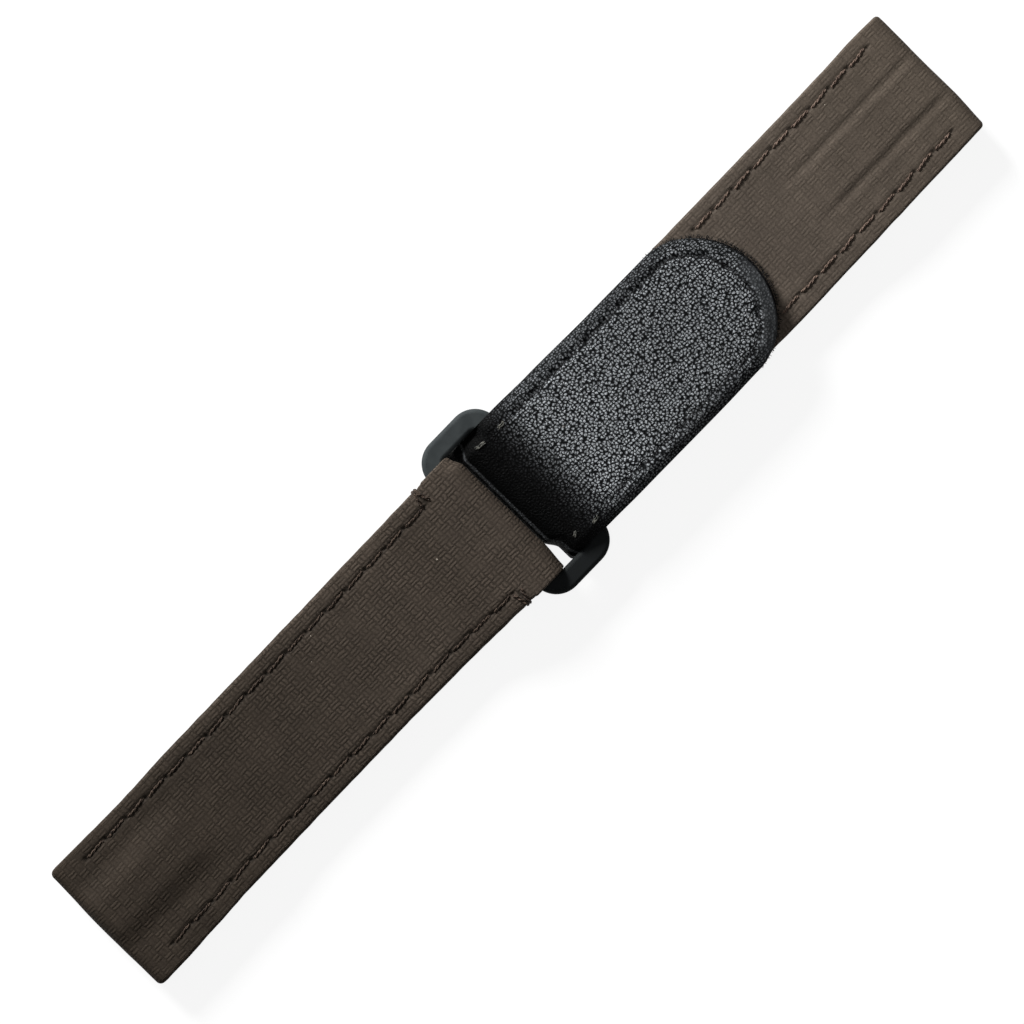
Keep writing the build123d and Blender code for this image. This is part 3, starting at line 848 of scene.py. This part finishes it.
def tab_centre(x):
    """The tab lies a little askew on the strap."""
    return (follow(TAB_HIGH, x) + follow(TAB_LOW, x)) / 2


def hide_edges(x, z, on_top):
    """Where the hide ends at the low side and at the high side."""
    if not on_top:
        half = 9.25 + 0.55 * smooth(7.4, 6.8, x) + 0.53 * smooth(5.5, 4.0, x)
        under_ring = 0.13 * smooth(5.5, 4.0, x) * smooth(1.95, 1.6, z)
        return -half - under_ring, half + under_ring
    low, high = follow(TAB_LOW, x), follow(TAB_HIGH, x)
    if x > TAB_STRAIGHT_X:
        share = sqrt(max(0.0, 1 - ((x - TAB_STRAIGHT_X) / (TAB_TIP_X - TAB_STRAIGHT_X)) ** 2))
        centre = (low + high) / 2
        low, high = centre + (low - centre) * share, centre + (high - centre) * share
    return low, high


def tab_place(x, y):
    """A point of the tab: y from its middle line, depth inside its rim, distance outside its
    seam, and distance to the nearest hole."""
    y -= tab_centre(x)
    rim = -beyond(x, y, TAB_STRAIGHT_X, TAB_TIP_X, TAB_HALF)
    off = beyond(x, y, TAB_STRAIGHT_X, LINE_TIP_X, LINE_HALF)
    return y, rim, off, min(hypot(x - hole_x, y - hole_y) for hole_x, hole_y in TAB_HOLES)


def hide_face(x, y):
    """Relief of the tab's outer face in millimetres."""
    relief = 0.05 * wander(x / 6, y / 5, 21) + 0.03 * wander(x / 1.8, y / 1.8, 22)
    y, rim, off, near = tab_place(x, y)
    relief -= 0.50 * (1 - smooth(0.0, 1.3 + 0.7 * smooth(30, 36, x), rim))
    if x < LINE_START_X - 2 or abs(off) >= 2.5:
        return relief
    started = smooth(LINE_START_X - 1.5, LINE_START_X, x)
    off += 0.3 * wander(x / 1.4, y / 1.4, 24)
    depth = (0.16 if y > 0 else 0.09) * (1 + wander(x / 2.2, y / 2.2, 25))
    relief -= started * (depth * hump(off, 0.38) + 0.24 * hump(near, 0.45))
    return relief + started * 0.04 * hump(off - 0.3, 1.0) * smooth(0.7, 1.7, near)


def hide_shade(x, y, z):
    """How dark the tab is painted, from 0 to 1: painted shade in the dents at the holes, along the seam and
    along both side rims, the cut edge's black dye, and a darker band outside the seam round the tip.
    """
    if z < 4.4 or x < 3:
        return 0.0
    y, rim, off, near = tab_place(x, y)
    off += 0.3 * wander(x / 1.4, y / 1.4, 24)
    round_tip = smooth(30, 34, x)
    # painted shade in the seam's crease
    seam = 0.62 + 0.50 * round_tip + 0.45 * wander(x / 1.1, y / 1.1, 26)
    seam *= hump(off, 0.22 + 0.06 * round_tip) * smooth(LINE_START_X - 1.5, LINE_START_X, x)
    band = 0.68 * smooth(34, 38, x) * smooth(0.3, 1.1, off)
    # painted shade along both side rims: the low one slopes away from the light, and the high one is darkened
    # too
    low_side = 0.70 * smooth(-7.4, -9.2, y)
    high_side = 0.82 * smooth(7.6, 9.2, y)
    # painted shade in the dents at the holes
    dent = (0.85 if y > 0 else 0.60) * hump(near, 0.48)
    return min(1.0, max(dent, 1 - smooth(0.1, 0.6, rim), seam, band, low_side, high_side))


def hide_pressed(x, y, z):
    """How flat the grain is pressed outside the seam, at the low side of the tab's tip."""
    if z < 4.4 or x < 33:
        return 0.0
    y, rim, off, near = tab_place(x, y)
    patchy = 0.85 + 0.35 * wander(x / 1.3, y / 1.3, 27)
    share = smooth(0.1, 0.7, off) * smooth(33.5, 37.0, x) * smooth(3.0, -1.5, y)
    return min(1.0, max(0.0, patchy) * share)


HIDE_STOPS = across_stops(0.985, 0.80, 0.040, 0.020, 0.16)


def tip_samples(straight_x, tip_x, top_z, run, count):
    """Samples along the end of a tongue, closer together towards its tip."""
    steps = [(tip_x - straight_x) * sin(pi / 2 * i / count) for i in range(1, count + 1)]
    return [(straight_x + along, top_z, 0.0, run + along) for along in steps]


def fold_shift(x, y, z):
    """How far the fold is drawn along X: in at the low side, and out at the high side, where
    its bottom corner reaches under the short half's loop."""
    low_side = 1.06 * smooth(-6.0, -8.2, y)
    high_side = 0.30 * smooth(7.6, 9.2, y) * smooth(3.4, 1.4, z)
    corner = smooth(8.6, 9.4, y) * smooth(1.5, 0.5, z)
    return (low_side - high_side - corner) * smooth(1.6, -0.7, x)


def fold_curl(x, y):
    """How far the fold's edge curls down at the high side."""
    return 0.85 * smooth(8.1, 9.6, y) * smooth(3.7, 1.8, x)


def hide_section(x, z, heading, run):
    on_top = z > 3.0
    low, high = hide_edges(x, z, on_top)
    edge = min(HIDE_EDGE, (high - low) / 2)

    def face(y):
        return hide_face(x, y) if on_top else -0.02 * (1 + wander(run / 5, y / 5, 23))

    def settled(y, outward):
        return y, outward + face(y) * (1 + outward / LEATHER_THICK)

    under, over = [], []
    for q in range(4):
        angle = pi / 2 * q / 4
        under.append((HIDE_UNDER_EDGE * (1 - sin(angle)), HIDE_UNDER_EDGE * (1 - cos(angle)) - LEATHER_THICK))
    for q in range(5):
        angle = pi / 2 * q / 5
        over.append((edge * (1 - cos(angle)), edge * (sin(angle) - 1)))
    ring = [settled(high - inset, outward) for inset, outward in under + over]
    middle, reach = (high + low) / 2, (high - low) / 2 - edge
    for stop in reversed(HIDE_STOPS):
        y = middle + stop / HIDE_STOPS[-1] * reach
        ring.append((y, face(y)))
    ring += [settled(low + inset, outward) for inset, outward in reversed(over)]
    ring += [(low + inset, outward) for inset, outward in reversed(under)]
    placed = []
    for y, outward in ring:
        curl = 0.0
        if outward > -LEATHER_THICK / 2:
            curl = fold_curl(x, y) * (1 - smooth(3.4, 1.4, z))
        across = y - outward if y > 0 else y + outward
        placed.append((y, outward - curl, across, fold_shift(x, y, z)))
    return placed


FOLD_LOW_RADIUS = 1.2
FOLD_HIGH_RADIUS = 3.6
FOLD_LEFT_X = -1.72
SLOPE_TURN = radians(14)

fold_high_z = FOLD_LOW_RADIUS + FOLD_HIGH_RADIUS * cos(SLOPE_TURN)
slope_radius = (TAB_TOP - fold_high_z) / (1 - cos(SLOPE_TURN))
slope_end_x = FOLD_LEFT_X + FOLD_HIGH_RADIUS * (1 - sin(SLOPE_TURN)) + slope_radius * sin(SLOPE_TURN)
hide_moves = line(HIDE_END_X - FOLD_LEFT_X - FOLD_LOW_RADIUS) + bend(FOLD_LOW_RADIUS, -pi / 2)
hide_moves += bend(FOLD_HIGH_RADIUS, SLOPE_TURN - pi / 2) + bend(slope_radius, -SLOPE_TURN)
hide_moves += line(TAB_STRAIGHT_X - slope_end_x)
hide_samples = walk(HIDE_END_X, 0, pi, hide_moves, HIDE_STEP)
FACE_RUN = hide_samples[-1][3] - TAB_STRAIGHT_X
hide_samples += tip_samples(TAB_STRAIGHT_X, TAB_TIP_X, TAB_TOP, hide_samples[-1][3], 56)
hide = closed_sheet("hide_leather", hide_samples, hide_section, mark=hide_shade, pressed=hide_pressed)
# Painted light along the hide, as shares of the tops' painted highlight: 0.45 along the lining, black where
# the fold goes down into shade, a thin highlight line on the fold's crest, and a bright band where the tab
# levels out
hide_painted_light = [(0, 0.45)] + [
    (FACE_RUN + x, share) for x, share in (
        (-8, 0.45), (-3, 0.0), (-2.0, 0.0), (-1.7, 0.20), (-1.4, 0.20), (-1.1, 0.0), (1.8, 0.0),
        (3.5, 0.02), (4.5, 0.07), (5.5, 0.17), (6.5, 0.38), (8.5, 0.90), (10.5, 1.15), (13, 1.06),
        (24, 0.84), (32, 0.80), (37, 0.86),
    )
]
hide.data.materials.append(
    grained_leather(
        "black_grain", 0.5, (0.0042, 0.0048, 0.0053), (0.468, 0.492, 0.517), 0.08, hide_painted_light,
        # span of the painted highlight line on the fold's crest
        (FACE_RUN - 1.95, FACE_RUN - 1.15),
    )
)
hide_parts("long_lining", "tab_fold", "tab_leather")
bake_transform(hide)

# Short half's lining: a strip of the same leather on the underside, sewn in between the skin's
# flaps, so that the two rows of stitches press a groove into it
LINING_HALF = 9.25
LINING_INNER_HALF = 8.9
LINING_LENGTH = 43.94


def lining_face(x, y):
    """Relief of the lining's outer face in millimetres."""
    return -0.015 * (1 + wander(x / 5, y / 5, 31)) - 0.18 * hump(abs(y) - ROW_Y, 0.4)


def lining_section(x, z, heading, run):
    return wrapped(LINING_HALF, SKIN_THICK, LINING_INNER_HALF, lambda y: lining_face(x, y), 0.2)


lining_samples = walk(SHORT_BASE_X - 0.03, 0, pi, line(LINING_LENGTH), SKIN_STEP)
short_lining = closed_sheet("short_lining_leather", lining_samples, lining_section)
# Its paler tops are painted highlights, as on the hide
short_lining.data.materials.append(
    grained_leather("lining_grain", 0.5, (0.008, 0.008, 0.009), (0.16, 0.165, 0.175), 0.08, [(0, 0.5)])
)
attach(short_lining, "short_strap")
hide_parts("short_lining")

# Ring: a flat metal frame with a matt black coat, finely speckled. It is painted much darker towards its
# -Y side, a painted shadow of the strap, and so is paler at the side that faces the light
coat, coat_tree, coat_shader = new_finish("matt_black_coat", 0.75, 0.12)
coat_place = object_place(coat_tree)
coat_speckle = coat_place.noise(9.0, 4.0)
coat_cloud = coat_place.noise(0.5).spread(0.3, 0.7)
coat_tone = blend_colour(coat_tree, coat_cloud, (0.034, 0.0395, 0.041), (0.045, 0.0515, 0.053))
# painted shadow: the -Y side, which the strap shades from the light, is made much darker
painted_shadow_side = coat_place.part("Y").spread(9.0, -9.0)
feed(coat_shader.inputs["Base Color"], blend_colour(coat_tree, painted_shadow_side, coat_tone, (0.0085, 0.0100, 0.0105)))
feed(coat_shader.inputs["Roughness"], coat_speckle.spread(0.3, 0.7, 0.66, 0.84))
emboss(coat_shader, coat_speckle, 0.02)
nodes["ring"].data.materials.clear()
nodes["ring"].data.materials.append(coat)

# Loop tape: a soft tape sewn to the face of the long half under the tab, with a pile that the
# hooks catch. Its pile shows as a fringe round the tab's tip.
TAPE_STRAIGHT_X = 33.6
TAPE_HOLES = tongue_line(10.9, TAPE_STRAIGHT_X, 41.1, 7.7, 6, 7)


def flat_tape(name, start_x, straight_x, tip_x, half_width, low_z, high_z, seed, flare):
    """Tongue of tape with soft edges. It lies askew as the tab does, and is flare wider at its tip."""
    thick = high_z - low_z
    stops = across_stops(0.98, 0.9, 0.06, 0.03, 0.1)

    def section(x, z, heading, run):
        half = half_width + flare * smooth(straight_x - 3, straight_x + 3, x)
        if x > straight_x:
            half *= sqrt(max(0.0, 1 - ((x - straight_x) / (tip_x - straight_x)) ** 2))
        half += (0.05 * wander(x / 1.1, 0, seed)) * min(1.0, half)
        edge = min(0.18, half)
        upper = [(half, -thick), (half, -edge), (half - edge * 0.3, -edge * 0.3)]
        ring = list(upper)
        for stop in reversed(stops):
            ring.append((stop / stops[-1] * (half - edge), 0.03 * wander(x / 0.7, stop * 12, seed)))
        ring += [(-y, outward) for y, outward in reversed(upper)]
        return [(y + tab_centre(x), outward, y) for y, outward in ring]

    samples = walk(start_x, high_z, 0, line(straight_x - start_x), 0.5)
    samples += tip_samples(straight_x, tip_x, high_z, samples[-1][3], 40)
    return closed_sheet(name, samples, section)


def fuzzy_tape(name, low, high):
    """Matt tape between two colours."""
    material, tree, shader = new_finish(name, 0.85, 0.08, 0.03)
    tangle = object_place(tree).noise(4.0, 5.0)
    feed(shader.inputs["Base Color"], blend_colour(tree, tangle.spread(0.3, 0.7), low, high))
    emboss(shader, tangle, 0.15)
    return material


def fibres(name, strands, radius, material):
    """Thin round fibres; each strand is a list of points in millimetres."""
    curve = bpy.data.curves.new(name, "CURVE")
    curve.dimensions = "3D"
    curve.bevel_depth = radius * MM
    curve.bevel_resolution = 0
    curve.use_fill_caps = True
    for strand in strands:
        spline = curve.splines.new("POLY")
        spline.points.add(len(strand) - 1)
        for point, (x, y, z) in zip(spline.points, strand):
            point.co = (x * MM, y * MM, z * MM, 1)
    holder = bpy.data.objects.new(name + "_curve", curve)
    mesh = bpy.data.meshes.new_from_object(holder)
    bpy.data.objects.remove(holder)
    mesh.name = name
    mesh.shade_smooth()
    mesh.materials.clear()
    mesh.materials.append(material)
    return put(name, mesh)


pile_black = fuzzy_tape("loop_pile_black", (0.0025, 0.0025, 0.003), (0.014, 0.014, 0.015))
loop_tape = flat_tape("loop_tape_base", 9.0, TAPE_STRAIGHT_X, 42.85, 9.7, STRAP_FACE_Z, 3.6, 41, 0.42)
loop_tape.data.materials.append(pile_black)
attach(loop_tape, "long_strap")
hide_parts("loop_tape")

PILE_CENTRE_Y = -0.41
rng = random.Random(7)
pile = []
for _ in range(260):
    angle = rng.uniform(-pi / 2, pi / 3) if rng.random() < 0.8 else rng.uniform(pi / 3, pi / 2)
    aim = angle + rng.uniform(-0.7, 0.7)
    x, y = TAPE_STRAIGHT_X + 9.4 * cos(angle), 10.05 * sin(angle) + PILE_CENTRE_Y
    long = rng.uniform(0.15, 0.55)
    droop = rng.uniform(0.0, 0.3)
    pile.append([
        (x + long * cos(aim) * q, y + long * sin(aim) * q, 3.45 + 0.1 * sin(pi * q) - droop * q)
        for q in (0, 0.33, 0.67, 1)
    ])
for _ in range(900):
    if rng.random() < 0.55:
        angle = rng.uniform(-pi / 2, pi / 2)
        share = rng.uniform(0.93, 1.0)
        x = TAPE_STRAIGHT_X + 9.5 * cos(angle) * share
        y = 10.1 * sin(angle) * share + PILE_CENTRE_Y
    else:
        x, y = rng.uniform(9.5, 34.0), rng.uniform(-9.3, 9.3)
    lean = rng.uniform(0, 2 * pi)
    wide = rng.uniform(0.12, 0.3)
    high = rng.uniform(0.05, 0.14)
    pile.append([
        (x + wide * cos(lean) * q, y + wide * sin(lean) * q, 3.58 + high * (1 - (2 * q - 1) ** 2))
        for q in (0, 0.25, 0.5, 0.75, 1)
    ])
loop_pile = fibres("loop_pile_fibres", pile, 0.028, pile_black)
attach(loop_pile, "long_strap")

# Hook tape: sewn under the tab, with rows of small stiff hooks that bend to the one side and
# to the other in turn
HOOK_TONGUE = (33.4, 41.9, 9.85)
HOOK_PROFILE = ((0, 3.97), (0, 3.82), (0.06, 3.755), (0.15, 3.76), (0.19, 3.82))
hook_black = fuzzy_tape("hook_tape_black", (0.008, 0.008, 0.009), (0.022, 0.022, 0.024))
hook_tape = flat_tape("hook_tape_base", 7.5, *HOOK_TONGUE, 3.95, 4.49, 42, 0)
hook_tape.data.materials.append(hook_black)
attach(hook_tape, "tab")
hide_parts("hook_tape")
hooks = []
for i in range(34):
    for j in range(19):
        x, y = 8.6 + i * 0.97, -8.9 + j * 0.99 + (0.4 if i % 2 else 0.0)
        if beyond(x, y, *HOOK_TONGUE) > -0.5:
            continue
        y += tab_centre(x)
        way = 1 if j % 2 else -1
        hooks.append([(x + bent * way, y, z) for bent, z in HOOK_PROFILE])
tape_hooks = fibres("tape_hooks", hooks, 0.035, hook_black)
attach(tape_hooks, "tab")

# Thread: two plies twisted together. Each stitch rises out of one needle hole, lies in the
# groove and sinks into the next, and the same again on the underside.
PLY_RADIUS = 0.105
PLY_SHARE = 0.88
PLY_TURNS_PER_MM = 0.62
UNDER_Z = 0.19
TAB_UNDER_Z = 3.93
TAPE_TOP_Z = 3.55
thread_rng = random.Random(3)


def twisted(points, radius=PLY_RADIUS):
    """Two plies round a centre line of points, which lies roughly level."""
    runs = [0.0]
    for a, b in zip(points, points[1:]):
        runs.append(runs[-1] + hypot(*(q - p for p, q in zip(a, b))))
    start = thread_rng.uniform(0, 2 * pi)
    plies = []
    for ply in (0, pi):
        strand = []
        for i, (x, y, z) in enumerate(points):
            a, b = points[max(0, i - 1)], points[min(len(points) - 1, i + 1)]
            ahead = Vector(b) - Vector(a)
            side = ahead.cross(Vector((0, 0, 1)))
            side = side.normalized() if side.length > 1e-6 else Vector((1, 0, 0))
            rise = side.cross(ahead).normalized()
            turn = start + ply + 2 * pi * PLY_TURNS_PER_MM * runs[i]
            twist = side * cos(turn) + rise * sin(turn)
            strand.append(tuple(Vector((x, y, z)) + twist * radius * PLY_SHARE))
        plies.append(strand)
    return plies


def stitch(a, b, surface, sink, arch, slant, count=15):
    """Centre line of one stitch from hole a to hole b over a surface given as z(x, y)."""
    across = Vector((a[1] - b[1], b[0] - a[0])).normalized()
    points = []
    for i in range(count + 1):
        q = i / count
        off = slant * (q - 0.5) * 2 + 0.04 * sin(pi * 3 * q + a[0])
        x = a[0] + (b[0] - a[0]) * (0.01 + 0.98 * q) + across.x * off
        y = a[1] + (b[1] - a[1]) * (0.01 + 0.98 * q) + across.y * off
        ends = min(q, 1 - q)
        drop = sink * (1 - smooth(0.0, 0.12, ends))
        points.append((x, y, surface(x, y) + arch * smooth(0.0, 0.3, ends) - drop))
    return points


def thread_finish(name, dark, light):
    """Twisted thread between two colours."""
    material, tree, shader = new_finish(name, 0.6, 0.12, 0.04)
    place = object_place(tree)
    feed(shader.inputs["Base Color"], blend_colour(tree, place.noise(3.5, 4.0).spread(0.3, 0.7), dark, light))
    emboss(shader, place.noise(14.0), 0.04)
    return material


def strap_top(samples):
    """Height of a sheet's upper face at x, from its side view."""
    top = sorted((x, z) for x, z, heading, run in samples if cos(heading) > 0.9)

    def height(x):
        for (x0, z0), (x1, z1) in zip(top, top[1:]):
            if x0 <= x <= x1:
                return z0 + (z1 - z0) * (x - x0) / max(x1 - x0, 1e-6)
        return top[0][1] if x < top[0][0] else top[-1][1]

    return height


short_top = strap_top(walk(SHORT_FLAP_X, 0, pi, short_moves, SKIN_STEP))
long_top = strap_top(walk(LONG_END_X, STRAP_FACE_Z, 0, long_moves, SKIN_STEP))
dark_thread = thread_finish("brown_thread_short", (0.0085, 0.0050, 0.0034), (0.098, 0.070, 0.052))
red_thread = thread_finish("brown_thread_long", (0.044, 0.028, 0.021), (0.205, 0.146, 0.114))
black_thread = thread_finish("black_thread_tab", (0.004, 0.004, 0.0045), (0.030, 0.031, 0.033))
worn_thread = thread_finish("worn_thread_fold", (0.03, 0.032, 0.03), (0.20, 0.195, 0.17))


def row_plies(holes, row, top, face, arch, radius):
    """Plies of one row, above and below the strap."""
    plies = []
    for a_x, b_x in zip(holes, holes[1:]):
        a, b = (a_x, follow(row, a_x)), (b_x, follow(row, b_x))
        slant = 0.13 + 0.11 * thread_rng.uniform(-1, 1)
        lift = arch + 0.06 * thread_rng.uniform(-1, 1)
        plies += twisted(stitch(a, b, lambda x, y: top(x) + face(x, y, True), 0.6, lift, slant), radius)
        plies += twisted(stitch(a, b, lambda x, y: UNDER_Z, -0.5, 0.0, slant * 0.6, 9))
    return plies


def tack_plies(side):
    """Two strands from the row's last hole, over the edge of the strap and back under it."""
    plies = []
    row = follow(SHORT_ROWS[side], -9)
    edge = follow(SHORT_EDGE_HIGH if side > 0 else SHORT_EDGE_LOW, -8.5)
    for top_x, edge_x in ((-9.15, -8.65), (-7.75, -8.30)):
        centre = []
        for q in range(9):
            t = q / 8
            x = top_x + (edge_x - top_x) * t
            y = row + (edge - side * 0.25 - row) * t
            sunk = 0.5 * smooth(0.15, 0.0, t) + 0.12 * smooth(0.8, 1.0, t)
            centre.append((x, y, short_top(x) + 0.06 - sunk))
        high = short_top(edge_x)
        for q in range(1, 10):
            t = q / 9
            centre.append((edge_x, edge - side * 0.06 * (1 - sin(pi * t)), high - 0.3 - (high - 0.55) * t))
        for q in range(1, 6):
            t = q / 5
            centre.append((edge_x, edge - side * (0.2 + 2.1 * t), UNDER_Z))
        plies += twisted(centre, 0.12) + twisted(centre, 0.21)
    return plies


LONG_PLY_RADIUS = 0.118
for side, word in ((1, "left"), (-1, "right")):
    plies = row_plies(SHORT_HOLES, SHORT_ROWS[side], short_top, short_face, 0.10, PLY_RADIUS)
    plies += tack_plies(side)
    thread = fibres(f"short_thread_{word}", plies, PLY_RADIUS, dark_thread)
    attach(thread, "short_strap")
    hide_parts(f"short_stitch_{word}")
    plies = row_plies(LONG_HOLES, LONG_ROWS[side], long_top, long_face, 0.08, LONG_PLY_RADIUS)
    thread = fibres(f"long_thread_{word}", plies, LONG_PLY_RADIUS, red_thread)
    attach(thread, "long_strap")
    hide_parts(f"long_stitch_{word}")


# Black thread of the two tapes: round the tab, and hidden under it. A seam goes up and down
# through the same holes, so each stitch on the face has one under it.
def seam_plies(holes, *passes):
    """Plies of a seam; a pass is what stitch() takes after its two holes."""
    plies = []
    for a, b in zip(holes, holes[1:]):
        for one_pass in passes:
            plies += twisted(stitch(a, b, *one_pass))
    return plies


tab_plies = seam_plies(
    [(x, y + tab_centre(x)) for x, y in TAB_HOLES],
    (lambda x, y: TAB_TOP + hide_face(x, y), 0.4, -0.11, 0.10),
    (lambda x, y: TAB_UNDER_Z, -0.3, 0.0, 0.05, 7),
)
tab_thread = fibres("tab_thread", tab_plies, PLY_RADIUS, black_thread)
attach(tab_thread, "tab")
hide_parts("tab_stitch")

tape_plies = seam_plies(
    TAPE_HOLES,
    (lambda x, y: TAPE_TOP_Z, 0.4, 0.02, 0.05, 9),
    (lambda x, y: UNDER_Z, -0.4, 0.0, 0.05, 7),
)
tape_thread = fibres("tape_thread", tape_plies, PLY_RADIUS, black_thread)
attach(tape_thread, "long_strap")
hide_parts("loop_tape_stitch")

# Worn thread of the tab's seam where it starts, in the fold: on each side two stitches are left,
# of two strands each, rubbed grey
WORN_PLY_RADIUS = 0.06
WORN_STITCHES = {
    1: ((0.9, 2.5, 8.45, 8.0), (4.7, 6.1, 8.15, 8.1)),
    -1: ((1.6, 2.4, 8.4, 8.2), (4.5, 5.8, 8.95, 8.85)),
}
hide_top = strap_top([(x, z, 0.0, 0.0) for x, z, heading, run in hide_samples if z > 3.5])


def fold_face(x, y):
    """Height that the worn thread lies at."""
    return hide_top(x) - 0.02 - fold_curl(x, y)


fold_plies = []
for side, stitches in WORN_STITCHES.items():
    for start_x, end_x, start_y, end_y in stitches:
        for shift in (-0.14, 0.10):
            a, b = (start_x, side * start_y + shift), (end_x, side * end_y + shift)
            fold_plies += twisted(stitch(a, b, fold_face, 0.3, 0.05, 0.08), WORN_PLY_RADIUS)
fold_thread = fibres("fold_thread", fold_plies, WORN_PLY_RADIUS, worn_thread)
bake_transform(fold_thread)
